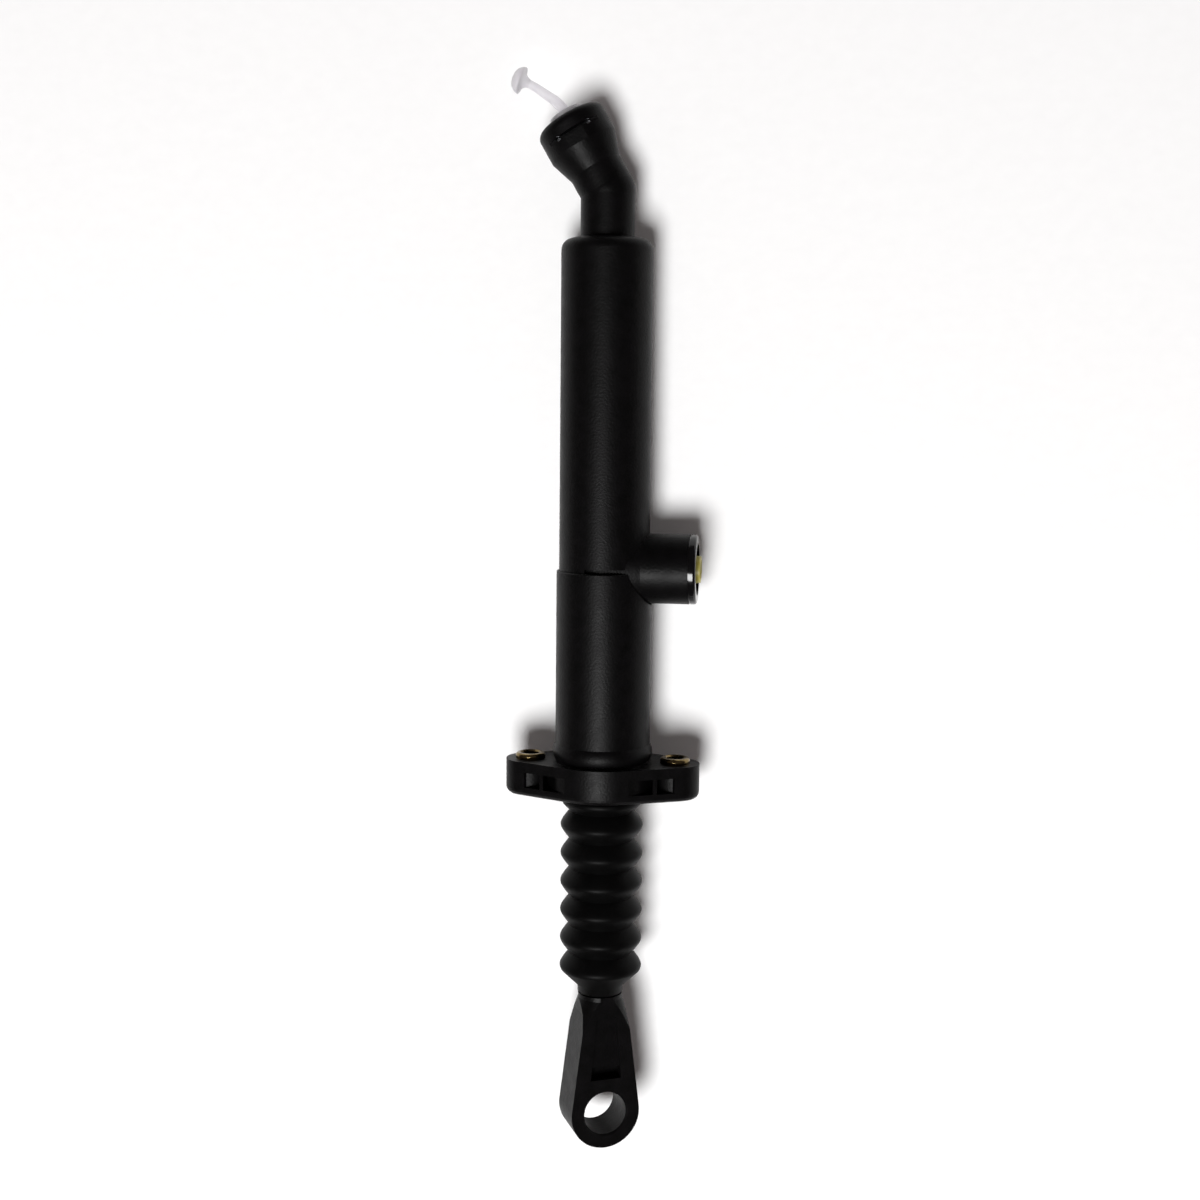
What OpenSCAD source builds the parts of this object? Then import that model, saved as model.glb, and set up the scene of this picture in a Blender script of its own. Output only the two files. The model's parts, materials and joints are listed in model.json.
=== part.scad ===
// Hydraulic master cylinder: moulded housing with an elbow outlet, a flange sleeve,
// a bellows boot and a push rod that ends in an eye.
// The origin lies on the bore axis, in the mounting face of the flange.
// +Z runs along the bore to the outlet, +X along the bolt line to the inlet, and -Y is the front.
// All sizes are in millimetres.

/* [Bore and tube] */
// Diameter of the pressure bore
bore_d = 23.8; // [21:0.1:26]
// Wall of the upper tube
tube_wall = 4.2; // [3.4:0.1:6]
// Length of the upper tube, from the sleeve's top edge to its shoulder
tube_len = 115.6; // [95:0.2:150]
// Rounding of the tube's shoulder
shoulder_r = 4; // [1:0.1:5]
// Thickness of the roof over the bore
roof = 8.3; // [6:0.1:12]
// Length of the slot under the tube's front, from the bore axis away from the inlet
seam_len = 5; // [3:0.1:9]
// Height of the slot under the tube's front
seam_h = 1.6; // [0.6:0.1:2]
// Wall of the spigot that stands inside the sleeve
spigot_wall = 2.4; // [2:0.1:4]
// Length of the spigot
spigot_len = 50.7; // [40:0.1:60]

/* [Outlet elbow] */
// Diameter of the outlet neck
neck_d = 19; // [15:0.1:22]
// Height of the elbow above the shoulder
neck_len = 16.2; // [10:0.1:25]
// Swell of the elbow's ball beyond the neck and beyond the passage
elbow_swell = 0.1; // [0.05:0.05:0.5]
// Lean of the outlet from the bore axis, in degrees
outlet_lean = 30; // [10:1:40]
// Length of the outlet from the elbow to its mouth
outlet_len = 28.4; // [24:0.1:40]
// Length of the straight part of the outlet head
head_len = 11.2; // [10.9:0.1:16]
// Length of the taper under the outlet head
head_taper = 8.5; // [4:0.1:10]
// Rounding of the outlet head's rim
head_rim_r = 3; // [1:0.1:3.1]
// Depth of the wire clip below the outlet's mouth
clip_depth = 6.5; // [4:0.1:8]
// Height of the flat under the clip's slot
clip_flat_h = 4.2; // [3:0.1:5]
// Depth of the flat under the clip's slot
clip_flat_depth = 0.5; // [0.2:0.1:1]

/* [Sockets] */
// Outer diameter of the outlet and inlet sockets
socket_d = 24.8; // [22:0.1:28]
// Diameter of the lead-in at the mouths
mouth_d = 18.4; // [16:0.1:20]
// Depth of the lead-in at the mouths
mouth_depth = 2.3; // [1.5:0.1:3.5]
// Bore that takes the collar of a mating hose end
collar_bore_d = 13.8; // [13:0.1:15.5]
// Depth of the collar bore from the mouth
collar_bore_depth = 9; // [8:0.1:11]
// Bore that takes the seal of a mating hose end
seal_bore_d = 9.8; // [8:0.1:11]
// Length of the outlet's seal bore
seal_bore_len = 8; // [6:0.1:10]
// Diameter of the fluid passage to the outlet
passage_d = 6; // [3:0.1:7]

/* [Inlet] */
// Height of the inlet axis above the sleeve's top edge
inlet_rise = 1.1; // [-4:0.1:8]
// Distance of the inlet's mouth from the bore axis
inlet_reach = 33.2; // [32:0.1:42]
// Growth of the inlet's radius towards the bore axis
inlet_root = 2.8; // [1:0.1:4]
// Length of the inlet's flared root from the bore axis
inlet_root_len = 14.5; // [13:0.1:18]
// Width of the end ring on the inlet
end_ring_w = 2.7; // [2:0.1:4]
// Width of the step that the end ring is pressed on to
end_ring_seat = 1.2; // [0.8:0.1:2]
// Rounding of the end ring's rim
end_ring_round = 1; // [0.4:0.1:1.6]
// Width and depth of the groove behind the end ring
end_ring_groove = 0.5; // [0.3:0.1:0.8]
// Floor between the inlet socket and the bore
inlet_floor = 2.6; // [2:0.1:4]
// Width of the groove for the inlet's seal
seal_groove_w = 1.6; // [1.2:0.1:2]
// Diameter of the feed hole behind the piston's cup
feed_d = 1.8; // [1:0.1:3]
// Diameter of the compensating hole ahead of the piston's cup
bleed_d = 0.8; // [0.5:0.1:1.2]

/* [Sleeve and flange] */
// Length of the sleeve above the mounting face
sleeve_len = 68.7; // [60:0.1:85]
// Wall of the sleeve around the spigot
sleeve_wall = 2.6; // [2:0.1:4]
// Chamfer on the sleeve's top edge
sleeve_chamfer = 0.3; // [0.2:0.1:1.2]
// Bulge of the round pilot collar out from the sleeve
collar_step = 0.9; // [0.4:0.1:2]
// Height of the pilot collar
collar_h = 6; // [4:0.1:8]
// Rise of the pilot collar above the mounting face
collar_rise = 0.6; // [0.4:0.1:3]
// Thickness of the flange
flange_t = 12.6; // [11.5:0.1:16]
// Depth of the flange from front to back
flange_depth = 39.4; // [38:0.1:46]
// Distance between the two bolt holes
bolt_spacing = 52.5; // [50:0.1:64]
// Radius of the flange's rounded lugs
lug_r = 8.8; // [8.6:0.1:10]
// Rounding of the flange's lower edge
flange_edge_r = 2.4; // [1:0.1:3]
// Thickness of the flange's upper plate over its pockets
pocket_roof = 3.7; // [2.5:0.1:4.5]
// Thickness of the flange's lower plate under its pockets
pocket_floor = 3.5; // [2.4:0.1:4]
// Reach of the pockets' round inner wall beyond the front of the flange
pocket_reach = 0.3; // [0.2:0.1:1]
// Inset of the bushings' bosses from the round ends of the lugs
boss_inset = 0.2; // [0.15:0.05:1]
// Distance of the pockets' ribs from the bolt holes, towards the bore axis
rib_in = 6; // [5:0.1:8]
// Thickness of the ribs in the pockets
rib_t = 1.4; // [1:0.1:2.5]
// Thickness of the web between the front and back pockets
web_t = 3; // [2:0.1:5]

/* [Bushings] */
// Diameter of the bolt holes
bolt_hole_d = 6.4; // [6:0.1:6.6]
// Wall of the bushings
bushing_wall = 2.2; // [1.4:0.05:2.4]
// Height of the bushings above the mounting face
bushing_proud = 2.1; // [0.8:0.1:3]
// Rounding of the bushings' upper rims
bushing_round = 1.1; // [0.4:0.05:1.2]
// Chamfer on the bushings' holes
bushing_chamfer = 0.5; // [0.2:0.05:0.8]

/* [Wire clip] */
// Diameter of the clip's wire
wire_d = 1.3; // [1.1:0.1:1.8]
// Distance of the clip's slot floor from the outlet axis
slot_floor = 8.2; // [8:0.1:9.5]
// Width of the straight slot between the clip's ends
slot_w = 1.4; // [0.8:0.1:1.8]

/* [Piston] */
// Stroke of the piston
stroke = 34; // [25:1:38]
// Diameter of the piston's waist
waist_d = 16; // [14:0.1:18]
// Thickness of the piston's front land
front_land = 1.4; // [1:0.1:2.5]
// Height of the primary cup
cup_h = 4; // [3:0.1:6]
// Thickness of the primary cup's base and lip
cup_wall = 1.6; // [1:0.1:2]
// Height of the secondary seal
seal_h = 4; // [3:0.1:5]
// Radial depth of the secondary seal
seal_depth = 2.2; // [1.6:0.1:2.6]
// Thickness of the spring seat's plate
seat_t = 2; // [1.5:0.1:4]
// Diameter of the spring seat's stem
seat_stem_d = 13; // [10:0.1:14]
// Length of the spring seat's stem
seat_stem_len = 9; // [6:0.1:14]
// Diameter of the return spring's wire
spring_wire_d = 2; // [1.5:0.1:2.4]
// Turns of the return spring
spring_turns = 13; // [10:1:16]

/* [Rear stack] */
// Depth of the boot's seat in the flange
boot_seat = 4.8; // [4:0.1:6]
// Width of the boot's collar in its seat
boot_collar = 1.05; // [0.8:0.05:1.4]
// Thickness of the boot's support ring
boot_ring_t = 0.7; // [0.5:0.05:1]
// Land between the boot's seat and the retaining ring
ring_land = 1.2; // [0.8:0.1:2]
// Thickness of the retaining ring
ring_t = 1.2; // [0.8:0.1:1.6]
// Thickness of the stop washer
washer_t = 1.5; // [1:0.1:2.5]
// Bore of the stop washer
washer_bore_d = 19; // [18.6:0.1:21]
// Wall of the piston's guide bush
bush_wall = 1.5; // [1:0.1:1.8]

/* [Ball joint] */
// Diameter of the push rod's ball
ball_d = 11; // [10:0.1:12]
// Height of the ball's centre above the piston's rear end
ball_rise = 6.8; // [6.8:0.1:12]
// Wall of the ball socket beside the ball
socket_wall = 3; // [2:0.1:3.4]
// Roof of the ball socket over the ball
socket_roof = 3.5; // [2:0.1:6]
// Depth of the ball socket below the ball's centre
socket_grip = 3.4; // [2.6:0.1:3.6]
// Thickness of the socket's snap ring
snap_t = 1.2; // [0.8:0.1:1.6]

/* [Push rod and eye] */
// Diameter of the push rod
rod_d = 9; // [8:0.1:10]
// Diameter of the push rod's neck under the ball
rod_neck_d = 7.2; // [6:0.1:7.4]
// Diameter of the eye's neck inside the boot's lip
eye_neck_d = 13.6; // [12.8:0.1:15]
// Drop of the eye's centre below the boot's lip
eye_drop = 44.4; // [40:0.1:60]
// Outer diameter of the eye
eye_d = 26; // [24:0.1:30]
// Hole of the eye
eye_hole_d = 16; // [12:0.1:17]
// Thickness of the eye
eye_t = 15.5; // [14:0.1:18]
// Chamfer on the eye's hole
eye_chamfer = 0.6; // [0.3:0.1:1.2]
// Turn of the eye about the bore axis, in degrees
eye_turn = 26; // [-90:1:90]
// Width of the eye's shank under its shoulder
shank_w = 16.6; // [16:0.1:20]
// Drop of the shank's narrowest place below the boot's lip
shoulder_drop = 7; // [5:0.1:10]
// Gap between the boot's lip and the eye's collar
eye_gap = 0.5; // [0.2:0.1:1]
// Height of the round collar between the boot's lip and the shoulder
eye_collar_h = 1.5; // [0.5:0.1:3]
// Angle of the round shoulder from the rod's axis, in degrees
shoulder_flare = 19; // [12:1:30]
// Wall between the eye's hole and its pockets
eye_wall = 5; // [4:0.1:7]
// Width of the eye's pockets at their lower end
pocket_w = 11.6; // [9:0.1:13]
// Width of the eye's pockets at their upper end
pocket_top_w = 7.4; // [6:0.1:9]
// Depth of the eye's pockets
pocket_depth = 1.2; // [0.6:0.1:2]
// Depth of the deep lower end of the eye's pockets
pocket_end_depth = 4.3; // [3:0.1:5]
// Height of the deep lower end of the eye's pockets
pocket_end_h = 4.6; // [3:0.1:7]
// Drop of the pockets' upper end below the boot's lip
pocket_drop = 8.5; // [5:0.1:16]

/* [Boot] */
// Number of folds in the boot
boot_folds = 6; // [4:1:8]
// Distance from fold to fold
boot_pitch = 10.54; // [9:0.02:13]
// Diameter over the folds
boot_peak_d = 29.8; // [28:0.1:34]
// Roundness of the folds, from pointed to full
boot_round = 0.3; // [0.1:0.05:1]
// Diameter in the valleys
boot_valley_d = 23.2; // [22:0.1:25]
// Wall of the boot
boot_wall = 1.3; // [1:0.1:1.6]
// Drop of the first fold below the flange
boot_first = 10.8; // [9:0.1:16]
// Length from the last fold to the lip's end
boot_tail = 9.8; // [9:0.1:16]
// Diameter of the lip
boot_lip_d = 16.6; // [15.8:0.1:18]
// Length of the lip's bore
boot_lip_len = 4; // [3:0.1:5]
// Height of the straight edge on the lip
boot_lip_edge = 3.4; // [0.4:0.1:4]

/* [Plugs] */
// Depth of the outlet plug below the mouth
plug_depth = 14; // [12:0.1:16]
// Rise of the outlet plug's nose above the seal bore
plug_rise = 2.8; // [1:0.1:5]
// Diameter of the outlet plug's stem
plug_stem_d = 3.6; // [3:0.1:6]
// Radius that the outlet plug's stem is bent to
plug_bend_r = 45; // [40:1:80]
// Bend of the outlet plug's stem from the outlet axis, in degrees
plug_bend = 32; // [20:1:40]
// Diameter of the outlet plug's flared end
plug_flare_d = 9.4; // [8:0.1:9.6]
// Length of the outlet plug's flared end
plug_flare_len = 6.2; // [5:0.1:9]
// Height of the dome on the outlet plug's flared end
plug_dome_h = 2.6; // [1:0.1:3]
// Wall of the inlet plug and rounding of the outlet plug's nose
plug_wall = 1.3; // [1:0.1:2]
// Length of the inlet plug
inlet_plug_len = 17.4; // [14:0.1:18]
// Height of the inlet plug above the mouth
inlet_plug_proud = 1.2; // [0:0.1:4]

/* [Fits] */
// Radial gap of a running fit
run_gap = 0.08; // [0.03:0.01:0.1]
// Gap between pieces that move past each other
free_gap = 0.3; // [0.2:0.05:0.4]
// Gap between pieces that are seated in each other
seat_gap = 0.1; // [0.02:0.01:0.15]
// Gap under a piece that comes to rest on a stop
stop_gap = 0.2; // [0.1:0.05:0.4]
// Gap between a pressed-in piece and its hole
press_gap = 0.01; // [0.005:0.005:0.02]
// Gap between the inlet socket and the notch in the sleeve's top edge
notch_gap = 0.6; // [0.2:0.05:0.8]

/* [Hidden] */
$fn = 96;
// Overshoot of every cut past the face that it opens
cut = 1;
// Thickness of a slice that stands for a flat outline
slice = 0.01;

// Radii and diameters that follow from the bore outwards
piston_r = bore_d / 2 - run_gap;
spigot_d = bore_d + 2 * spigot_wall;
tube_d = bore_d + 2 * tube_wall;
sleeve_bore_d = spigot_d + 2 * seat_gap;
sleeve_d = sleeve_bore_d + 2 * sleeve_wall;
bush_d = bore_d + 2 * bush_wall;
bush_seat_d = bush_d + 2 * seat_gap;
boot_seat_d = bush_seat_d + 2 * ring_land;
shoulder = min(shoulder_r, (tube_d - neck_d) / 2);

// Heights of the housing
spigot_z = sleeve_len - spigot_len;
inlet_z = sleeve_len + inlet_rise;
tube_top = sleeve_len + tube_len;
bore_top = tube_top - roof;
elbow_z = tube_top + neck_len;
inlet_floor_x = bore_d / 2 + inlet_floor;
inlet_body_x = inlet_reach - end_ring_w;

// Heights of the stack in the flange, from the boot's seat up
seat_z = boot_seat - flange_t;
ring_z = seat_z + ring_land;
washer_z = ring_z + ring_t;
stop_z = washer_z + washer_t;

// Heights of the piston and what it carries
piston_z = stop_z + stop_gap;
feed_z = inlet_z - seal_bore_d / 2 + feed_d / 2 + free_gap;
piston_top = feed_z + feed_d / 2 + front_land + stop_gap;
cup_top = piston_top + cup_h;
bleed_z = cup_top + bleed_d / 2 + stop_gap;
waist_z = feed_z - feed_d - stroke;
seal_z = waist_z - front_land - seal_h;
seal_groove_r = piston_r - seal_depth;
ball_z = piston_z + ball_rise;
ball_seat_r = ball_d / 2 + run_gap;
ball_socket_r = ball_d / 2 + socket_wall;
cavity_r = ball_socket_r + run_gap;
socket_z = ball_z - socket_grip;
socket_top = ball_z + ball_d / 2 + socket_roof;
snap_z = socket_z - stop_gap - snap_t;
snap_groove_r = cavity_r + snap_t / 2;
spring_z = cup_top + seat_t;
spring_r = seat_stem_d / 2 + free_gap + spring_wire_d / 2;

// Heights of the boot, the rod and the eye
first_peak_z = -flange_t - boot_first;
last_peak_z = first_peak_z - (boot_folds - 1) * boot_pitch;
lip_z = last_peak_z - boot_tail;
lip_top = lip_z + boot_lip_len;
eye_z = lip_z - eye_drop;
rod_end = lip_z - shoulder_drop - rod_d / 6;
boot_collar_r = boot_seat_d / 2 - free_gap;
lip_bore_r = eye_neck_d / 2 + run_gap;
// Steps of the boot's outline from a valley to a fold
boot_steps = 4;

// The wire clip and the outlet plug
wire_r = wire_d / 2;
leg_x = seal_bore_d / 2 + free_gap + wire_r;
clip_z = outlet_len - clip_depth;
clip_back = socket_d / 2 + free_gap + wire_r;
plug_nose_r = seal_bore_d / 2 - run_gap;
// Degrees of the plug's bend that run into its nose and its flared end
plug_root = 2;

// Colours
black_nylon = "#1c1d1f";
black_rubber = "#242425";
steel = "#b9bcc0";
brass = "#c79a3a";
acetal = "#d9d6cb";
white_film = "#e9e6ee";
yellow_cap = "#c3b84a";
aluminium = "#a9adb2";

// Places the children along the outlet, with +Z out of its mouth
module along_outlet() {
    translate([0, 0, elbow_z])
        rotate([0, -outlet_lean, 0])
            children();
}

// Places the children along the inlet, with +Z out of its mouth
module along_inlet() {
    translate([0, 0, inlet_z])
        rotate([0, 90, 0])
            children();
}

// Places the children at both bolt holes
module at_bolts() {
    for (side = [-1, 1])
        translate([side * bolt_spacing / 2, 0, 0])
            children();
}

// Turns the children so that -Y faces out of the eye's front
module at_eye() {
    rotate([0, 0, eye_turn])
        translate([0, 0, eye_z])
            children();
}

// Half profile of a round post with a rounded top rim
module post_profile(r, h, edge) {
    square([r, h - edge]);
    square([r - edge, h]);
    translate([r - edge, h - edge])
        circle(edge);
}

// Plain ring between two radii
module ring(outer_r, inner_r, h) {
    difference() {
        cylinder(r = outer_r, h = h);
        translate([0, 0, -cut])
            cylinder(r = inner_r, h = h + 2 * cut);
    }
}

// Lead-in and collar bore of a socket whose mouth lies at height z
module socket_mouth(z) {
    translate([0, 0, z - mouth_depth])
        cylinder(d1 = collar_bore_d, d2 = mouth_d, h = mouth_depth);
    translate([0, 0, z - collar_bore_depth])
        cylinder(d = collar_bore_d, h = collar_bore_depth);
    translate([0, 0, z])
        cylinder(d = mouth_d, h = cut);
}

// Slot between the tube's front and the sleeve's top edge, which runs to the inlet
module seam_slot() {
    intersection() {
        translate([0, 0, sleeve_len - cut])
            ring(tube_d, spigot_d / 2 + seat_gap, seam_h + cut);
        translate([-seam_len, -tube_d, 0])
            cube([seam_len + socket_d / 2, tube_d, tube_top]);
    }
}

// Upper tube with the spigot below it
module housing_tube() {
    difference() {
        rotate_extrude() {
            translate([0, spigot_z])
                square([spigot_d / 2, spigot_len + cut]);
            translate([0, sleeve_len])
                post_profile(tube_d / 2, tube_len, shoulder);
        }
        seam_slot();
    }
}

// Outside of the inlet socket, flared towards its root and grown by gap
module inlet_body(gap, reach) {
    cylinder(d = socket_d + 2 * gap, h = reach);
    cylinder(r1 = socket_d / 2 + inlet_root + gap, r2 = socket_d / 2 + gap - seat_gap,
             h = inlet_root_len);
}

// Neck, elbow and socket head of the outlet
module outlet_body() {
    translate([0, 0, tube_top - cut])
        cylinder(d = neck_d, h = neck_len + cut);
    translate([0, 0, elbow_z])
        sphere(r = neck_d / 2 + elbow_swell);
    along_outlet() {
        cylinder(d = neck_d, h = outlet_len - head_len);
        translate([0, 0, outlet_len - head_len - head_taper])
            cylinder(d1 = neck_d, d2 = socket_d, h = head_taper);
        translate([0, 0, outlet_len - head_len])
            rotate_extrude()
                post_profile(socket_d / 2, head_len, head_rim_r);
    }
}

// Everything that is bored out of the outlet
module outlet_bores() {
    seal_floor = outlet_len - collar_bore_depth - seal_bore_len;
    along_outlet() {
        socket_mouth(outlet_len);
        translate([0, 0, seal_floor])
            cylinder(d = seal_bore_d, h = seal_bore_len + cut);
        cylinder(d = passage_d, h = seal_floor + cut);
        clip_slots();
    }
    translate([0, 0, elbow_z])
        sphere(r = passage_d / 2 + elbow_swell);
    translate([0, 0, bore_top - cut])
        cylinder(d = passage_d, h = elbow_z - bore_top + cut);
}

// Two leg holes, the straight slot that joins them and the flat below it
module clip_slots() {
    leg_hole_r = wire_r + free_gap;
    translate([0, 0, clip_z]) {
        for (side = [-1, 1])
            translate([side * leg_x, 0, 0])
                rotate([90, 0, 0])
                    cylinder(r = leg_hole_r, h = socket_d, center = true);
        translate([-socket_d / 2, -socket_d / 2 - cut, -slot_w / 2])
            cube([socket_d, socket_d / 2 + cut - slot_floor, slot_w]);
        translate([-socket_d / 2, -socket_d / 2 - cut, -slot_w / 2 - clip_flat_h])
            cube([socket_d, clip_flat_depth + cut, clip_flat_h]);
    }
}

// Everything that is bored out of the inlet
module inlet_bores() {
    along_inlet() {
        socket_mouth(inlet_reach);
        translate([0, 0, inlet_floor_x])
            cylinder(d = seal_bore_d, h = inlet_reach - inlet_floor_x);
        translate([0, 0, inlet_reach - collar_bore_depth - seal_groove_w])
            cylinder(d = seal_bore_d + seal_groove_w, h = seal_groove_w);
    }
    translate([0, 0, feed_z])
        rotate([0, 90, 0])
            cylinder(d = feed_d, h = inlet_floor_x + cut);
    translate([0, 0, bleed_z])
        rotate([0, 90, 0])
            cylinder(d = bleed_d, h = inlet_floor_x + cut);
}

// One moulding: spigot, upper tube, outlet elbow and inlet socket
module cylinder_housing() {
    color(black_nylon)
        difference() {
            union() {
                housing_tube();
                outlet_body();
                along_inlet() {
                    inlet_body(0, inlet_body_x);
                    cylinder(d = socket_d - 2 * end_ring_seat, h = inlet_reach - end_ring_seat);
                }
            }
            translate([0, 0, spigot_z - cut])
                cylinder(d = bore_d, h = bore_top - spigot_z + cut);
            outlet_bores();
            inlet_bores();
            o_ring_shape(seat_gap);
        }
}

// Round cord that seals the spigot in the sleeve
module o_ring_shape(gap) {
    cord_r = (spigot_wall / 2 + seat_gap) / 2;
    translate([0, 0, spigot_z + spigot_len / 4])
        rotate_extrude()
            translate([sleeve_bore_d / 2 - cord_r, 0])
                circle(r = cord_r + gap, $fn = 24);
}

// Outline of the flange: a round middle with two lugs, shrunk by inset
module flange_outline(inset) {
    mid_r = flange_depth / 2 - inset;
    end_r = lug_r - inset;
    lean = asin((mid_r - end_r) / (bolt_spacing / 2));
    circle(mid_r);
    for (side = [-1, 1]) {
        translate([side * bolt_spacing / 2, 0])
            circle(end_r);
        polygon([
            [side * mid_r * sin(lean), mid_r * cos(lean)],
            [side * (bolt_spacing / 2 + end_r * sin(lean)), end_r * cos(lean)],
            [side * (bolt_spacing / 2 + end_r * sin(lean)), -end_r * cos(lean)],
            [side * mid_r * sin(lean), -mid_r * cos(lean)]
        ]);
    }
}

// Flange plate with a rounded lower edge
module flange_plate() {
    translate([0, 0, flange_edge_r - flange_t])
        linear_extrude(flange_t - flange_edge_r)
            flange_outline(0);
    hull() {
        for (angle = [0 : 22.5 : 90])
            translate([0, 0, -flange_t + flange_edge_r * (1 - sin(angle))])
                linear_extrude(slice)
                    flange_outline(slice + flange_edge_r * (1 - cos(angle)), $fn = 64);
    }
}

// Plan of the pocket in one quarter of the flange, which widens in front of the boss
module pocket_plan(boss_r) {
    bolt_x = bolt_spacing / 2;
    flare = flange_depth / 4;
    polygon([
        [0, 0],
        [bolt_x, 0],
        [bolt_x, boss_r],
        [bolt_x + flare, boss_r + flare],
        [0, boss_r + flare]
    ]);
}

// Front and back pockets of the flange, between the bushing bosses and the round middle
module flange_pockets() {
    floor_z = pocket_floor - flange_t;
    pocket_h = flange_t - pocket_floor - pocket_roof;
    boss_r = lug_r - boss_inset;
    mid_r = flange_depth / 2 + pocket_reach;
    rib_x = bolt_spacing / 2 - rib_in;
    difference() {
        translate([0, 0, floor_z])
            linear_extrude(pocket_h)
                for (side = [0, 1], face = [0, 1])
                    mirror([side, 0])
                        mirror([0, face])
                            pocket_plan(boss_r);
        translate([0, 0, -flange_t])
            cylinder(r = mid_r, h = flange_t);
        at_bolts()
            translate([0, 0, -flange_t])
                cylinder(r = boss_r, h = flange_t);
        translate([-bolt_spacing / 2, -web_t / 2, -flange_t])
            cube([bolt_spacing, web_t, flange_t]);
        for (side = [-1, 1])
            translate([side * rib_x - rib_t / 2, -flange_depth / 2, -flange_t])
                cube([rib_t, flange_depth, flange_t]);
    }
}

// Round bead that pilots the sleeve in its mounting hole, as a half profile
module collar_profile() {
    bead_r = (pow(collar_step, 2) + pow(collar_h / 2, 2)) / (2 * collar_step);
    translate([sleeve_d / 2 + collar_step - bead_r, collar_rise + collar_h / 2])
        circle(bead_r);
}

// Lower moulding: sleeve, pilot collar and bolt flange
module flange_sleeve() {
    color(black_nylon)
        difference() {
            union() {
                rotate_extrude() {
                    translate([0, -flange_edge_r])
                        square([sleeve_d / 2, sleeve_len + flange_edge_r - sleeve_chamfer]);
                    square([sleeve_d / 2 - sleeve_chamfer, sleeve_len]);
                    translate([sleeve_d / 2 - sleeve_chamfer, sleeve_len - sleeve_chamfer])
                        polygon([[0, 0], [sleeve_chamfer, 0], [0, sleeve_chamfer]]);
                    collar_profile();
                }
                flange_plate();
            }
            flange_pockets();
            translate([0, 0, -flange_t - cut])
                cylinder(d = boot_seat_d, h = boot_seat + cut);
            translate([0, 0, -flange_t])
                cylinder(d = bush_seat_d, h = flange_t + spigot_z + cut);
            translate([0, 0, ring_z])
                cylinder(d = boot_seat_d, h = ring_t);
            translate([0, 0, spigot_z])
                cylinder(d = sleeve_bore_d, h = spigot_len + cut);
            along_inlet()
                inlet_body(notch_gap, inlet_reach);
            at_bolts()
                translate([0, 0, -flange_t - cut])
                    cylinder(r = bolt_hole_d / 2 + bushing_wall + press_gap, h = flange_t + 2 * cut);
        }
}

// Metal bushing that carries the clamp load of one bolt
module bushing(side) {
    outer_r = bolt_hole_d / 2 + bushing_wall;
    color(brass)
        translate([side * bolt_spacing / 2, 0, -flange_t])
            difference() {
                rotate_extrude()
                    post_profile(outer_r, flange_t + bushing_proud, bushing_round);
                translate([0, 0, -cut])
                    cylinder(d = bolt_hole_d, h = flange_t + bushing_proud + 2 * cut);
                translate([0, 0, flange_t + bushing_proud - bushing_chamfer])
                    cylinder(d1 = bolt_hole_d, d2 = bolt_hole_d + 4 * bushing_chamfer,
                             h = 2 * bushing_chamfer);
            }
}

module left_bushing() {
    bushing(-1);
}

module right_bushing() {
    bushing(1);
}

// Bent wire clip: two legs through the outlet head and a bridge behind it
module outlet_clip() {
    bend_r = wire_d * 1.5;
    leg_front = slot_floor - seat_gap;
    leg_len = leg_front + clip_back - bend_r;
    color(steel)
        along_outlet()
            translate([0, 0, clip_z]) {
                for (side = [-1, 1])
                    translate([side * leg_x, -leg_front, 0])
                        rotate([-90, 0, 0])
                            cylinder(r = wire_r, h = leg_len, $fn = 24);
                for (side = [0, 1])
                    mirror([side, 0, 0])
                        translate([leg_x - bend_r, clip_back - bend_r, 0])
                            rotate_extrude(angle = 90)
                                translate([bend_r, 0])
                                    circle(r = wire_r, $fn = 24);
                translate([0, clip_back, 0])
                    rotate([0, 90, 0])
                        cylinder(r = wire_r, h = 2 * (leg_x - bend_r), center = true, $fn = 24);
            }
}

// Glossy ring pressed on the end of the inlet, which keeps its seal in
module inlet_end_ring() {
    color(black_nylon)
        along_inlet()
            translate([0, 0, inlet_body_x])
                difference() {
                    rotate_extrude() {
                        square([socket_d / 2 - end_ring_groove, end_ring_w / 2]);
                        translate([0, end_ring_groove])
                            post_profile(socket_d / 2, end_ring_w - end_ring_groove, end_ring_round);
                    }
                    translate([0, 0, -cut])
                        cylinder(r = socket_d / 2 - end_ring_seat + press_gap,
                                 h = end_ring_w - end_ring_seat + cut);
                    translate([0, 0, -cut])
                        cylinder(d = mouth_d, h = end_ring_w + 2 * cut);
                }
}

// Seal ring in the groove of the inlet's seal bore
module inlet_seal() {
    color(black_rubber)
        along_inlet()
            translate([0, 0, inlet_reach - collar_bore_depth - seal_groove_w / 2])
                rotate_extrude()
                    translate([seal_bore_d / 2 + seal_groove_w / 4, 0])
                        circle(r = seal_groove_w / 4 - seat_gap / 2, $fn = 24);
}

// Flared, domed end of the outlet plug
module plug_flare() {
    root_r = plug_stem_d / 2 + seat_gap;
    flare_r = plug_flare_d / 2;
    sweep = flare_r - root_r;
    rotate_extrude()
        polygon(concat(
            [[0, 0]],
            [for (a = [0 : 15 : 75]) [root_r + sweep * (1 - cos(a)), sweep * sin(a)]],
            [for (a = [0 : 10 : 90]) [flare_r * cos(a), plug_flare_len - plug_dome_h * (1 - sin(a))]]
        ));
}

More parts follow.
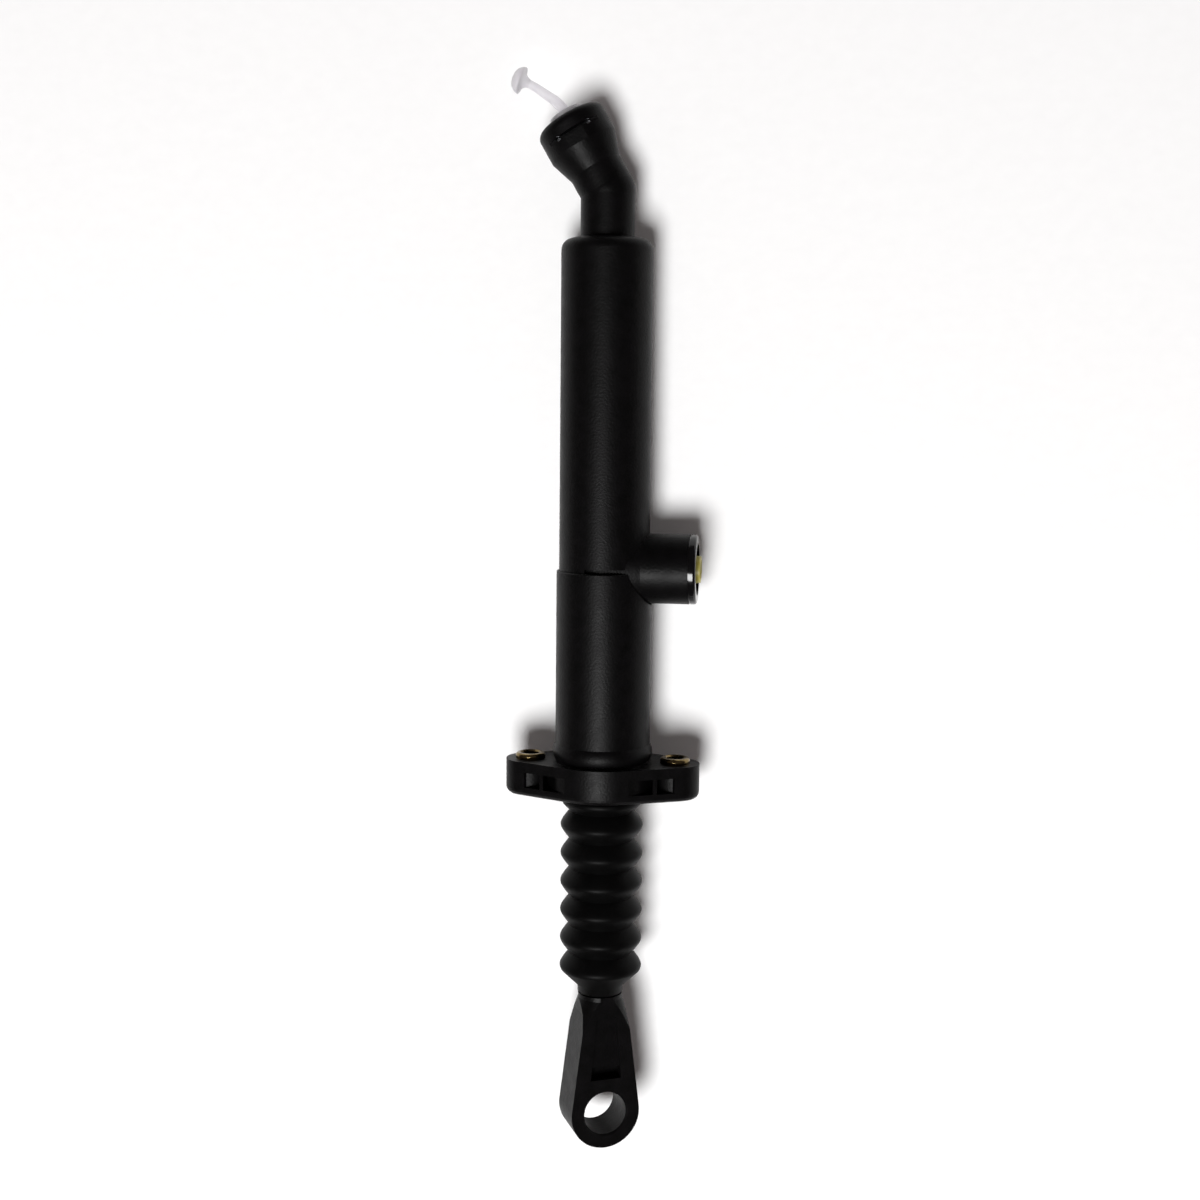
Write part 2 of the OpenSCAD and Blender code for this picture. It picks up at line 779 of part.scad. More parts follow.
// Soft shipping plug: a nose in the seal bore and a bent stem with a flared end
module outlet_plug() {
    nose_top = outlet_len - collar_bore_depth + plug_rise;
    nose_len = plug_depth - collar_bore_depth + plug_rise;
    color(white_film)
        along_outlet() {
            translate([0, 0, nose_top - nose_len])
                rotate_extrude()
                    post_profile(plug_nose_r, nose_len, plug_wall);
            translate([-plug_bend_r, 0, nose_top]) {
                rotate([90, plug_root, 0])
                    rotate_extrude(angle = plug_bend + 2 * plug_root)
                        translate([plug_bend_r, 0])
                            circle(d = plug_stem_d, $fn = 48);
                rotate([0, -plug_bend, 0])
                    translate([plug_bend_r, 0, 0])
                        plug_flare();
            }
        }
}

// Coloured cap plug in the inlet, dished at its outer end
module inlet_plug() {
    plug_end = inlet_reach + inlet_plug_proud;
    color(yellow_cap)
        along_inlet()
            difference() {
                translate([0, 0, plug_end - inlet_plug_len])
                    rotate_extrude()
                        post_profile(plug_nose_r, inlet_plug_len, plug_wall / 3);
                translate([0, 0, plug_end - inlet_plug_len / 3])
                    cylinder(r = plug_nose_r - plug_wall, h = inlet_plug_len);
            }
}

module body_o_ring() {
    color(black_rubber)
        o_ring_shape(0);
}

// Bush that guides the rear of the piston in the sleeve
module guide_bush() {
    color(acetal)
        translate([0, 0, stop_z])
            ring(bush_d / 2, bore_d / 2, spigot_z - stop_z);
}

// Washer that stops the piston's return
module stop_washer() {
    color(steel)
        translate([0, 0, washer_z])
            ring(bush_d / 2, washer_bore_d / 2, washer_t);
}

// Open spring ring that keeps the washer and the bush in the sleeve
module retaining_ring() {
    ring_r = boot_seat_d / 2 - seat_gap;
    color(steel)
        translate([0, 0, ring_z + seat_gap / 2])
            difference() {
                ring(ring_r, washer_bore_d / 2 + ring_land, ring_t - seat_gap / 2);
                translate([0, -ring_t * 2, -cut])
                    cube([ring_r + cut, ring_t * 4, ring_t + 2 * cut]);
            }
}

// Steel ring that holds the boot's collar in the flange
module boot_ring() {
    ring_r = boot_collar_r - boot_collar - seat_gap / 2;
    color(steel)
        translate([0, 0, -flange_t + stop_gap])
            ring(ring_r, ring_r - boot_ring_t, boot_seat - 2 * stop_gap);
}

// Points of a coil's section, one ring of corners for each step along it
function coil_points(steps, corners, turns, r, wire, z0, z1) = [
    for (i = [0 : steps])
        let (a = 360 * turns * i / steps, z = z0 + (z1 - z0) * i / steps)
            for (j = [0 : corners - 1])
                let (s = 360 * j / corners, reach = r + wire * cos(s))
                    [reach * cos(a), reach * sin(a), z + wire * sin(s)]
];

// Faces between neighbouring rings of corners, with a cap at each end
function coil_faces(steps, corners) = concat(
    [[for (j = [corners - 1 : -1 : 0]) j]],
    [
        for (i = [0 : steps - 1])
            for (j = [0 : corners - 1])
                let (k = (j + 1) % corners)
                    [i * corners + j, i * corners + k, (i + 1) * corners + k, (i + 1) * corners + j]
    ],
    [[for (j = [0 : corners - 1]) steps * corners + j]]
);

// Coil spring between the spring seat and the roof of the bore
module return_spring() {
    corners = 6;
    steps = spring_turns * 14;
    wire = spring_wire_d / 2;
    low = spring_z + wire + stop_gap;
    high = bore_top - wire - stop_gap;
    color(steel)
        polyhedron(
            points = coil_points(steps, corners, spring_turns, spring_r, wire, low, high),
            faces = coil_faces(steps, corners)
        );
}

// Seat on the piston's nose that centres the spring and keeps the cup on
module spring_seat() {
    plate_r = spring_r + spring_wire_d / 2;
    nose_r = waist_d / 4;
    color(acetal)
        translate([0, 0, cup_top]) {
            cylinder(r = plate_r, h = seat_t);
            cylinder(d = seat_stem_d, h = seat_t + seat_stem_len);
            translate([0, 0, -cup_h])
                cylinder(r = nose_r, h = cup_h);
        }
}

// Lipped rubber cup that closes the pressure chamber
module primary_cup() {
    nose_r = waist_d / 4 + seat_gap;
    color(black_rubber)
        translate([0, 0, piston_top])
            difference() {
                ring(piston_r, nose_r, cup_h - stop_gap);
                translate([0, 0, cup_wall])
                    ring(piston_r - cup_wall, nose_r + cup_wall, cup_h);
            }
}

// Turned piston with a front land, a waist, a seal groove and a cavity for the ball socket
module piston() {
    color(aluminium)
        difference() {
            union() {
                translate([0, 0, piston_z])
                    cylinder(r = piston_r, h = waist_z - piston_z);
                translate([0, 0, waist_z])
                    cylinder(d = waist_d, h = piston_top - waist_z);
                translate([0, 0, piston_top - front_land])
                    cylinder(r = piston_r, h = front_land);
            }
            translate([0, 0, seal_z])
                ring(piston_r + cut, seal_groove_r, seal_h);
            translate([0, 0, piston_z - cut])
                cylinder(r = cavity_r, h = socket_top + stop_gap - piston_z + cut);
            translate([0, 0, snap_z])
                cylinder(r = snap_groove_r, h = snap_t);
        }
}

// Rubber ring that keeps the reservoir's fluid in
module secondary_seal() {
    color(black_rubber)
        translate([0, 0, seal_z + seat_gap])
            ring(piston_r, seal_groove_r + seat_gap / 2, seal_h - 2 * seat_gap);
}

// Ring that keeps the ball socket in the piston
module snap_ring() {
    color(steel)
        translate([0, 0, snap_z + seat_gap / 2])
            ring(snap_groove_r - seat_gap / 2, cavity_r - snap_t, snap_t - seat_gap);
}

// Cup that holds the ball and turns in the piston
module ball_socket() {
    color(acetal)
        difference() {
            translate([0, 0, socket_z])
                cylinder(r = ball_socket_r, h = socket_top - socket_z);
            translate([0, 0, ball_z])
                sphere(r = ball_seat_r);
        }
}

// Steel rod with a ball at its upper end
module push_rod() {
    neck_end = ball_z - ball_d;
    color(steel) {
        translate([0, 0, ball_z])
            sphere(d = ball_d);
        translate([0, 0, neck_end])
            cylinder(d = rod_neck_d, h = ball_z - neck_end);
        translate([0, 0, neck_end - rod_d / 4])
            cylinder(d1 = rod_d, d2 = rod_neck_d, h = rod_d / 4);
        translate([0, 0, rod_end])
            cylinder(d = rod_d, h = neck_end - rod_d / 4 - rod_end);
    }
}

// Round neck of the eye, with a bead that keeps the boot's lip on
module eye_neck() {
    neck_r = eye_neck_d / 2;
    bead_r = neck_r + boot_wall / 2;
    head_top = lip_top + boot_lip_len;
    rotate_extrude()
        polygon([
            [0, head_top],
            [rod_d / 2 + boot_wall, head_top],
            [bead_r, head_top - boot_wall],
            [bead_r, lip_top + stop_gap],
            [neck_r, lip_top + stop_gap],
            [neck_r, lip_z - shoulder_drop],
            [0, lip_z - shoulder_drop]
        ]);
}

// Round shoulder that widens below the boot's lip until it clears the eye
module eye_shoulder() {
    top_z = lip_z - eye_gap;
    top_r = boot_lip_d / 2 - stop_gap;
    flare_h = (eye_d - top_r) / tan(shoulder_flare);
    rotate_extrude()
        polygon([
            [0, top_z],
            [top_r, top_z],
            [top_r, top_z - eye_collar_h],
            [eye_d, top_z - eye_collar_h - flare_h],
            [eye_d, eye_z - eye_d],
            [0, eye_z - eye_d]
        ]);
}

// Front outline of the eye: a shank that widens into the round end
module eye_outline() {
    shank_r = shank_w / 2;
    rise = eye_drop - shoulder_drop;
    touch = atan2(rise, shank_r) - acos(eye_d / 2 / norm([shank_r, rise]));
    touch_x = eye_d / 2 * cos(touch);
    touch_y = eye_d / 2 * sin(touch);
    circle(d = eye_d);
    polygon([
        [-shank_r, eye_drop],
        [shank_r, eye_drop],
        [shank_r, rise],
        [touch_x, touch_y],
        [-touch_x, touch_y],
        [-shank_r, rise]
    ]);
}

// Tapered pocket in one face of the eye's shank, cut off at a height above its lower end
module eye_pocket(depth, cut_h) {
    low = eye_hole_d / 2 + eye_wall;
    high = eye_drop - pocket_drop;
    share = cut_h / (high - low);
    top_w = pocket_w + (pocket_top_w - pocket_w) * share;
    translate([0, -eye_t / 2 + depth, low])
        rotate([90, 0, 0])
            linear_extrude(depth + cut)
                polygon([
                    [-pocket_w / 2, 0],
                    [pocket_w / 2, 0],
                    [top_w / 2, cut_h],
                    [-top_w / 2, cut_h]
                ]);
}

// Flat plate of the eye with a pocket in each face
module eye_plate() {
    pocket_h = eye_drop - pocket_drop - eye_hole_d / 2 - eye_wall;
    difference() {
        rotate([90, 0, 0])
            linear_extrude(eye_t, center = true)
                eye_outline();
        for (side = [0, 1])
            mirror([0, side, 0]) {
                eye_pocket(pocket_depth, pocket_h);
                eye_pocket(pocket_end_depth, pocket_end_h);
            }
    }
}

// Hole of the eye, with a chamfer at each end
module eye_hole() {
    rotate([90, 0, 0])
        cylinder(d = eye_hole_d, h = eye_t + 2 * cut, center = true);
    for (side = [0, 1])
        mirror([0, side, 0])
            translate([0, -eye_t / 2 - slice, 0])
                rotate([-90, 0, 0])
                    cylinder(d1 = eye_hole_d + 2 * eye_chamfer, d2 = eye_hole_d, h = eye_chamfer);
}

// Moulded eye on the end of the push rod
module rod_eye() {
    color(black_nylon)
        difference() {
            union() {
                eye_neck();
                intersection() {
                    eye_shoulder();
                    at_eye()
                        eye_plate();
                }
            }
            at_eye()
                eye_hole();
            translate([0, 0, rod_end - seat_gap])
                cylinder(d = rod_d + seat_gap, h = -rod_end);
        }
}

// Swell of a fold at a share of the way from its tip to a valley
function fold_swell(share) =
    1 - (norm([share, boot_round]) - boot_round) / (norm([1, boot_round]) - boot_round);

// Outer corners of the boot from its collar down to its lip
function boot_points() = concat(
    [
        [boot_collar_r, seat_z - stop_gap],
        [boot_collar_r, -flange_t],
        [boot_collar_r, first_peak_z + boot_pitch / 2 + boot_collar_r - boot_valley_d / 2]
    ],
    [
        for (i = [0 : boot_folds - 1])
            for (step = [-boot_steps : i < boot_folds - 1 ? boot_steps - 1 : boot_steps / 2])
                [
                    (boot_valley_d + (boot_peak_d - boot_valley_d) * fold_swell(step / boot_steps)) / 2,
                    first_peak_z - (i + step / boot_steps / 2) * boot_pitch
                ]
    ],
    [
        [boot_lip_d / 2, lip_z + boot_lip_edge],
        [boot_lip_d / 2, lip_z]
    ]
);

// Inner corners of the boot, a wall's thickness inside the outer ones
function boot_inner() = concat(
    [
        for (p = boot_points())
            if (p[1] > lip_top + boot_wall)
                [p[1] >= -flange_t ? boot_collar_r - boot_collar : p[0] - boot_wall, p[1]]
    ],
    [[lip_bore_r + boot_wall, lip_top + boot_wall], [lip_bore_r, lip_top], [lip_bore_r, lip_z]]
);

// Bellows between the flange and the eye's neck
module dust_boot() {
    inner = boot_inner();
    count = len(inner);
    color(black_rubber)
        rotate_extrude()
            polygon(concat(boot_points(), [for (i = [count - 1 : -1 : 0]) inner[i]]));
}

cylinder_housing();
flange_sleeve();
left_bushing();
right_bushing();
outlet_clip();
inlet_end_ring();
inlet_seal();
outlet_plug();
inlet_plug();
body_o_ring();
guide_bush();
stop_washer();
retaining_ring();
boot_ring();
return_spring();
spring_seat();
primary_cup();
piston();
secondary_seal();
snap_ring();
ball_socket();
push_rod();
rod_eye();
dust_boot();
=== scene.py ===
import json
import math

import bmesh
import bpy
from mathutils import Matrix, Vector


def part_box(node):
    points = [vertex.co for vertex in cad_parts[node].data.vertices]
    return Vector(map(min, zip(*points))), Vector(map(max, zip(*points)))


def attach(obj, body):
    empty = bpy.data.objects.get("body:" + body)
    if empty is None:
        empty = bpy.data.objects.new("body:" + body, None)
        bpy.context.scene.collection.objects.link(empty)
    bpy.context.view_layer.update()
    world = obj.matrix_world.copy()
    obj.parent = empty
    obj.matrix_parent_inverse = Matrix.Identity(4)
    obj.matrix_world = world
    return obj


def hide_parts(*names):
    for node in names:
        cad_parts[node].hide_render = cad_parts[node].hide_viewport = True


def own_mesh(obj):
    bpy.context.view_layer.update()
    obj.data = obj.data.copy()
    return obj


mm = 0.001

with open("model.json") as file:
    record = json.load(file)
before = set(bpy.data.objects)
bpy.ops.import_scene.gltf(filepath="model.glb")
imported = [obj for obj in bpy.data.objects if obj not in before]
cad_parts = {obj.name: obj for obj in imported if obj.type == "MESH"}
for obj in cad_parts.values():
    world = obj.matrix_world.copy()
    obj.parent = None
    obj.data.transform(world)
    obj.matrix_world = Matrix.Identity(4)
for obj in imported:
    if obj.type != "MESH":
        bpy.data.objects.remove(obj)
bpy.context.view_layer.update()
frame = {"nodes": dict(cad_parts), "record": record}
nodes = frame["nodes"]
mounts = {mount["name"]: mount for mount in frame["record"]["mounts"]}
print("frame loaded:", len(nodes), "nodes")


# an sRGB hex colour as the linear colour that shaders take
def hexToLinear(code):
    channels = [int(code[i:i + 2], 16) / 255 for i in (1, 3, 5)]
    linear = [c / 12.92 if c <= 0.04045 else ((c + 0.055) / 1.055) ** 2.4 for c in channels]
    return (*linear, 1)


# adds one node; settings go to its inputs or, failing that, to its own options
def addNode(owner, kind, settings={}, links={}):
    tree = owner.node_tree
    node = tree.nodes.new(kind)
    for key, value in settings.items():
        if isinstance(key, int) or key in node.inputs:
            node.inputs[key].default_value = value
        else:
            setattr(node, key, value)
    for key, socket in links.items():
        tree.links.new(socket, node.inputs[key])
    return node


# sockets of a mix node that mixes colours
mixFactor, mixFirst, mixSecond, mixResult = 0, 6, 7, 2


# a new material and its shader, which the finish then links its patterns to
def startMaterial(name, shaderSettings):
    material = bpy.data.materials.new(name)
    material.use_nodes = True
    material.node_tree.nodes.clear()
    shader = addNode(material, "ShaderNodeBsdfPrincipled", shaderSettings)
    addNode(material, "ShaderNodeOutputMaterial", links={"Surface": shader.outputs[0]})
    place = addNode(material, "ShaderNodeTexCoord")
    return material, shader, place.outputs["Object"]


# what every finish shares: the noise's detail, and the part of its range that carries the change
pattern = {"mottleDetail": 3.0, "mottleRoughness": 0.6, "grainDetail": 2.0, "low": 0.3, "high": 0.7}


# colour mottle, uneven gloss and grain, each sized in millimetres
def dressSurface(material, shader, place, finish):
    link = material.node_tree.links.new
    mottle = addNode(material, "ShaderNodeTexNoise",
                     {"Scale": 1 / (finish["mottleSize"] * mm), "Detail": pattern["mottleDetail"],
                      "Roughness": pattern["mottleRoughness"]},
                     {"Vector": place})
    tone = addNode(material, "ShaderNodeValToRGB", links={"Fac": mottle.outputs["Fac"]})
    darkEnd, lightEnd = tone.color_ramp.elements
    darkEnd.position = pattern["low"]
    darkEnd.color = hexToLinear(finish["darkTone"])
    lightEnd.position = pattern["high"]
    lightEnd.color = hexToLinear(finish["lightTone"])
    link(tone.outputs["Color"], shader.inputs["Base Color"])
    stretched = addNode(material, "ShaderNodeMapping", {"Scale": finish["grainStretch"]}, {"Vector": place})
    grain = addNode(material, "ShaderNodeTexNoise",
                    {"Scale": 1 / (finish["grainSize"] * mm), "Detail": pattern["grainDetail"]},
                    {"Vector": stretched.outputs["Vector"]})
    gloss = addNode(material, "ShaderNodeMapRange",
                    {"From Min": pattern["low"], "From Max": pattern["high"],
                     "To Min": finish["roughness"][0], "To Max": finish["roughness"][1]},
                    {"Value": mottle.outputs["Fac"]})
    link(gloss.outputs["Result"], shader.inputs["Roughness"])
    bump = addNode(material, "ShaderNodeBump",
                   {"Strength": finish["grainStrength"], "Distance": finish["grainDepth"] * mm},
                   {"Height": grain.outputs["Fac"]})
    link(bump.outputs["Normal"], shader.inputs["Normal"])
    return material


# glass-filled nylon, injection moulded: near black, with a satin skin that mottles where the fibres show
# (its grain is drawn coarser than the real one, so that it shows)
nylonFinish = {
    "darkTone": "#040404", "lightTone": "#070607", "mottleSize": 5.0,
    "grainSize": 0.8, "grainDepth": 0.12, "grainStrength": 0.6, "grainStretch": (1, 1, 1),
    "roughness": (0.38, 0.46), "ior": 1.53, "specular": 0.085,
}


def mouldedNylon():
    material, shader, place = startMaterial(
        "mouldedGlassFilledNylon",
        {"IOR": nylonFinish["ior"], "Specular IOR Level": nylonFinish["specular"]})
    return dressSurface(material, shader, place, nylonFinish)


# unfilled nylon from a polished mould: black and glossy, with a sharp small highlight
glossFinish = {
    "darkTone": "#040405", "lightTone": "#070708", "mottleSize": 4.0,
    "grainSize": 0.6, "grainDepth": 0.01, "grainStrength": 0.15, "grainStretch": (1, 1, 1),
    "roughness": (0.10, 0.16), "ior": 1.53, "specular": 0.32,
}


def polishedNylon():
    material, shader, place = startMaterial(
        "polishedMouldNylon",
        {"IOR": glossFinish["ior"], "Specular IOR Level": glossFinish["specular"]})
    return dressSurface(material, shader, place, glossFinish)


# boot rubber, compression moulded: soft dull sheen with a faint grey bloom
bootFinish = {
    "darkTone": "#050505", "lightTone": "#080808", "mottleSize": 7.0,
    "grainSize": 0.4, "grainDepth": 0.02, "grainStrength": 0.3, "grainStretch": (1, 1, 1),
    "roughness": (0.40, 0.50), "ior": 1.52, "specular": 0.055,
}


def bellowsRubber():
    material, shader, place = startMaterial(
        "mouldedBellowsRubber",
        {"IOR": bootFinish["ior"], "Specular IOR Level": bootFinish["specular"]})
    return dressSurface(material, shader, place, bootFinish)


# seal rubber, moulded and oiled: black with a wet sheen
sealFinish = {
    "darkTone": "#0B0B0B", "lightTone": "#141414", "mottleSize": 3.0,
    "grainSize": 0.3, "grainDepth": 0.01, "grainStrength": 0.2, "grainStretch": (1, 1, 1),
    "roughness": (0.30, 0.42), "ior": 1.52, "specular": 0.4,
}


def oiledSealRubber():
    material, shader, place = startMaterial(
        "oiledSealRubber",
        {"IOR": sealFinish["ior"], "Specular IOR Level": sealFinish["specular"]})
    return dressSurface(material, shader, place, sealFinish)


# brass, turned and left bright: warm gold with fine rings from the tool
brassFinish = {
    "darkTone": "#5A4C33", "lightTone": "#86744E", "mottleSize": 2.0,
    "grainSize": 0.5, "grainDepth": 0.012, "grainStrength": 0.3, "grainStretch": (0.3, 0.3, 4.0),
    "roughness": (0.12, 0.24),
}


def turnedBrass():
    material, shader, place = startMaterial("turnedBrightBrass", {"Metallic": 1.0})
    return dressSurface(material, shader, place, brassFinish)


# spring steel, drawn to wire: bright grey with lines along the draw
steelFinish = {
    "darkTone": "#6A6C70", "lightTone": "#94969A", "mottleSize": 1.5,
    "grainSize": 0.4, "grainDepth": 0.008, "grainStrength": 0.25, "grainStretch": (1, 0.3, 1),
    "roughness": (0.16, 0.30),
}


def drawnSteel():
    material, shader, place = startMaterial("drawnSpringSteel", {"Metallic": 1.0})
    return dressSurface(material, shader, place, steelFinish)


# aluminium, turned: pale grey with tool rings along the axis
aluminiumFinish = {
    "darkTone": "#9DA1A5", "lightTone": "#C6C9CC", "mottleSize": 3.0,
    "grainSize": 0.5, "grainDepth": 0.01, "grainStrength": 0.3, "grainStretch": (0.2, 0.2, 5.0),
    "roughness": (0.24, 0.36),
}


def turnedAluminium():
    material, shader, place = startMaterial("turnedAluminium", {"Metallic": 1.0})
    return dressSurface(material, shader, place, aluminiumFinish)


# acetal, moulded: chalky off-white with a slick feel
acetalFinish = {
    "darkTone": "#CFCBC0", "lightTone": "#DEDBD1", "mottleSize": 6.0,
    "grainSize": 0.5, "grainDepth": 0.01, "grainStrength": 0.2, "grainStretch": (1, 1, 1),
    "roughness": (0.32, 0.42), "ior": 1.48,
    "scatter": 0.2, "scatterTint": (1, 1, 1), "scatterDepth": 1.0,
}


def mouldedAcetal():
    material, shader, place = startMaterial(
        "mouldedAcetal",
        {"IOR": acetalFinish["ior"], "Subsurface Weight": acetalFinish["scatter"],
         "Subsurface Radius": acetalFinish["scatterTint"],
         "Subsurface Scale": acetalFinish["scatterDepth"] * mm})
    return dressSurface(material, shader, place, acetalFinish)


# natural polythene, injection moulded: milky and waxy; a painted shade darkens its colour along the plug,
# most on the collar where the black socket shows through, less on the dome and the stem
milkyFinish = {
    "darkTone": "#ECE9EE", "lightTone": "#F4F2F5", "mottleSize": 3.0,
    "grainSize": 0.5, "grainDepth": 0.012, "grainStrength": 0.25, "grainStretch": (1, 1, 1),
    "roughness": (0.30, 0.40), "ior": 1.51, "clearness": 0.35, "paintedShadeTone": "#000000",
    "scatter": 0.5, "scatterTint": (1, 1, 1), "scatterDepth": 3.0,
}


def milkyPolythene():
    material, shader, place = startMaterial(
        "milkyPolythene",
        {"IOR": milkyFinish["ior"], "Transmission Weight": milkyFinish["clearness"],
         "Subsurface Weight": milkyFinish["scatter"], "Subsurface Radius": milkyFinish["scatterTint"],
         "Subsurface Scale": milkyFinish["scatterDepth"] * mm})
    dressSurface(material, shader, place, milkyFinish)
    tone = shader.inputs["Base Color"].links[0].from_socket
    # painted shade: the plug's paintedShade attribute mixes the base colour towards black
    paintedShade = addNode(material, "ShaderNodeAttribute", {"attribute_name": "paintedShade"})
    withPaintedShade = addNode(material, "ShaderNodeMix",
                     {"data_type": "RGBA", mixSecond: hexToLinear(milkyFinish["paintedShadeTone"])},
                     {mixFactor: paintedShade.outputs["Fac"], mixFirst: tone})
    material.node_tree.links.new(withPaintedShade.outputs[mixResult], shader.inputs["Base Color"])
    return material


# coloured polythene, injection moulded: olive yellow and waxy
yellowFinish = {
    "darkTone": "#B0A650", "lightTone": "#C2B864", "mottleSize": 3.0,
    "grainSize": 0.5, "grainDepth": 0.012, "grainStrength": 0.25, "grainStretch": (1, 1, 1),
    "roughness": (0.36, 0.46), "ior": 1.51,
    "scatter": 0.25, "scatterTint": (1, 1, 0.4), "scatterDepth": 1.5,
}


def yellowPolythene():
    material, shader, place = startMaterial(
        "yellowPolythene",
        {"IOR": yellowFinish["ior"], "Subsurface Weight": yellowFinish["scatter"],
         "Subsurface Radius": yellowFinish["scatterTint"],
         "Subsurface Scale": yellowFinish["scatterDepth"] * mm})
    return dressSurface(material, shader, place, yellowFinish)


finishes = {
    "black_nylon": mouldedNylon(),
    "gloss_nylon": polishedNylon(),
    "boot_rubber": bellowsRubber(),
    "seal_rubber": oiledSealRubber(),
    "brass": turnedBrass(),
    "spring_steel": drawnSteel(),
    "aluminium": turnedAluminium(),
    "acetal": mouldedAcetal(),
    "white_polythene": milkyPolythene(),
    "yellow_polythene": yellowPolythene(),
}
for subpart in frame["record"]["subparts"]:
    cadMesh = nodes[subpart["node"]].data
    cadMesh.materials.clear()
    cadMesh.materials.append(finishes[subpart["material_slot"]])
print("materials set:", len(finishes))


# one mesh over rings of points: an open run gets end caps, a looped one closes on itself
def skinRings(name, rings, looped, creaseAngle):
    bm = bmesh.new()
    rows = [[bm.verts.new(point) for point in ring] for ring in rings]
    pairs = list(zip(rows, rows[1:]))
    if looped:
        pairs.append((rows[-1], rows[0]))
    else:
        bm.faces.new(rows[0])
        bm.faces.new(rows[-1])
    for low, high in pairs:
        for i in range(len(low)):
            j = (i + 1) % len(low)
            bm.faces.new((low[i], low[j], high[j], high[i]))
    bmesh.ops.recalc_face_normals(bm, faces=bm.faces)
    for face in bm.faces:
        face.smooth = True
    for edge in bm.edges:
        edge.smooth = edge.calc_face_angle(0) < math.radians(creaseAngle)
    mesh = bpy.data.meshes.new(name)
    bm.to_mesh(mesh)
    bm.free()
    piece = bpy.data.objects.new(name, mesh)
    bpy.context.scene.collection.objects.link(piece)
    return piece


# a ring of points round a place on a run, across its direction
def ringAcross(centre, across, over, radius, corners):
    turns = [2 * math.pi * i / corners for i in range(corners)]
    return [centre + (across * math.cos(t) + over * math.sin(t)) * radius for t in turns]


# gives a piece its finish and its body; node is the CAD node that it stands for, if there is one
def finishPiece(piece, slotName, body, node=None):
    piece.data.materials.append(finishes[slotName])
    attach(piece, body)
    if node:
        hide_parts(node)


# dust boot: a collar seated in the flange, and below it the bellows, which ends in a lip on the eye's neck
boot = {
    "folds": 6, "pitch": 10.54 * mm, "firstFold": 10.8 * mm, "valleyRadius": 11.6 * mm, "tipRound": 0.3,
    "collarRadius": 14.4 * mm, "collarWall": 1.05 * mm, "webWall": 0.15 * mm,
    "sleeveRadius": 10.2 * mm, "sleeveWall": 0.8 * mm, "sleeveLength": 2.2 * mm,
    "swingRoom": 0.9 * mm, "wall": 1.3 * mm, "edge": 0.3 * mm,
    "lipRadius": 8.3 * mm, "lipLength": 4.0 * mm, "lipEdge": 2.4 * mm, "neckRadius": 6.88 * mm,
    "stepsPerFold": 24, "stepsPastLast": 3, "around": 128, "creaseAngle": 60,
}


# the collar has a short sleeve that goes down into the bellows and hides the room above it
def collarProfile():
    top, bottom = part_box("dust_boot")[1].z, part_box("flange_sleeve")[0].z
    outer, inner, edge = boot["collarRadius"], boot["collarRadius"] - boot["collarWall"], boot["edge"]
    sleeve, sleeveEnd = boot["sleeveRadius"], bottom - boot["sleeveLength"]
    sleeveInside, webTop = sleeve - boot["sleeveWall"], bottom + boot["webWall"]
    return [(outer - edge, top), (outer, top - edge), (outer, bottom + edge), (outer - edge, bottom),
            (sleeve, bottom), (sleeve, sleeveEnd), (sleeveInside, sleeveEnd), (sleeveInside, webTop),
            (inner, webTop), (inner, top)]


# the bellows keeps clear of the flange by the room that the rod's swing needs
def bellowsProfile():
    low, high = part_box("dust_boot")
    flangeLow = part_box("flange_sleeve")[0].z
    top = flangeLow - boot["swingRoom"]
    peak, valley, tip = high.x, boot["valleyRadius"], boot["tipRound"]
    firstPeak = flangeLow - boot["firstFold"]
    lastStep = (boot["folds"] - 1) * boot["stepsPerFold"] + boot["stepsPastLast"]
    folds = []
    for i in range(-boot["stepsPerFold"] // 2, lastStep + 1):
        share = i / boot["stepsPerFold"]
        fall = math.hypot(2 * abs(share - round(share)), tip) - tip
        folds.append((peak - (peak - valley) * fall / (math.hypot(1, tip) - tip),
                      firstPeak - boot["pitch"] * share))
    outer, wall, edge = boot["collarRadius"], boot["wall"], boot["edge"]
    collarEnd = folds[0][1] + outer - valley
    collar = [(outer - edge, top), (outer, top - edge),
              (outer, collarEnd + edge), (outer - edge, collarEnd - edge)]
    lip, neck, lipTop = boot["lipRadius"], boot["neckRadius"], low.z + boot["lipLength"]
    tail = [(lip, low.z + boot["lipEdge"]), (lip, low.z + edge), (lip - edge, low.z)]
    inside = [(neck + edge, low.z), (neck, low.z + edge), (neck, lipTop), (neck + wall, lipTop + wall)]
    inside += [(r - wall, z) for r, z in reversed(folds)]
    inside += [(outer - wall, collarEnd), (outer - wall, top)]
    return collar + folds + tail + inside


# turns a profile of radius and height round the bore's axis
def turnProfile(name, profile):
    axisX, axisY = Vector((1, 0, 0)), Vector((0, 1, 0))
    rings = [ringAcross(Vector((0, 0, z)), axisX, axisY, r, boot["around"]) for r, z in profile]
    return skinRings(name, rings, True, boot["creaseAngle"])


def makeBoot():
    collar = turnProfile("bootCollar", collarProfile())
    finishPiece(collar, "boot_rubber", "housing_body")
    bellows = turnProfile("dustBoot", bellowsProfile())
    finishPiece(bellows, "boot_rubber", "rod_body", "dust_boot")
    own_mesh(bellows)


makeBoot()
print("dust boot made")


# return spring: round wire, with a closed coil at each end
spring = {
    "wireRadius": 1.0 * mm, "turns": 13, "deadTurns": 1.0,
    "stepsPerTurn": 40, "corners": 14, "creaseAngle": 40,
}


# height of the wire's middle after a number of turns
def springHeight(turn, low, high):
    dead, wire = spring["deadTurns"], 2 * spring["wireRadius"]
    if turn < dead:
        return low + wire * turn
    if turn > spring["turns"] - dead:
        return high - wire * (spring["turns"] - turn)
    share = (turn - dead) / (spring["turns"] - 2 * dead)
    return low + wire * dead + share * (high - low - 2 * wire * dead)


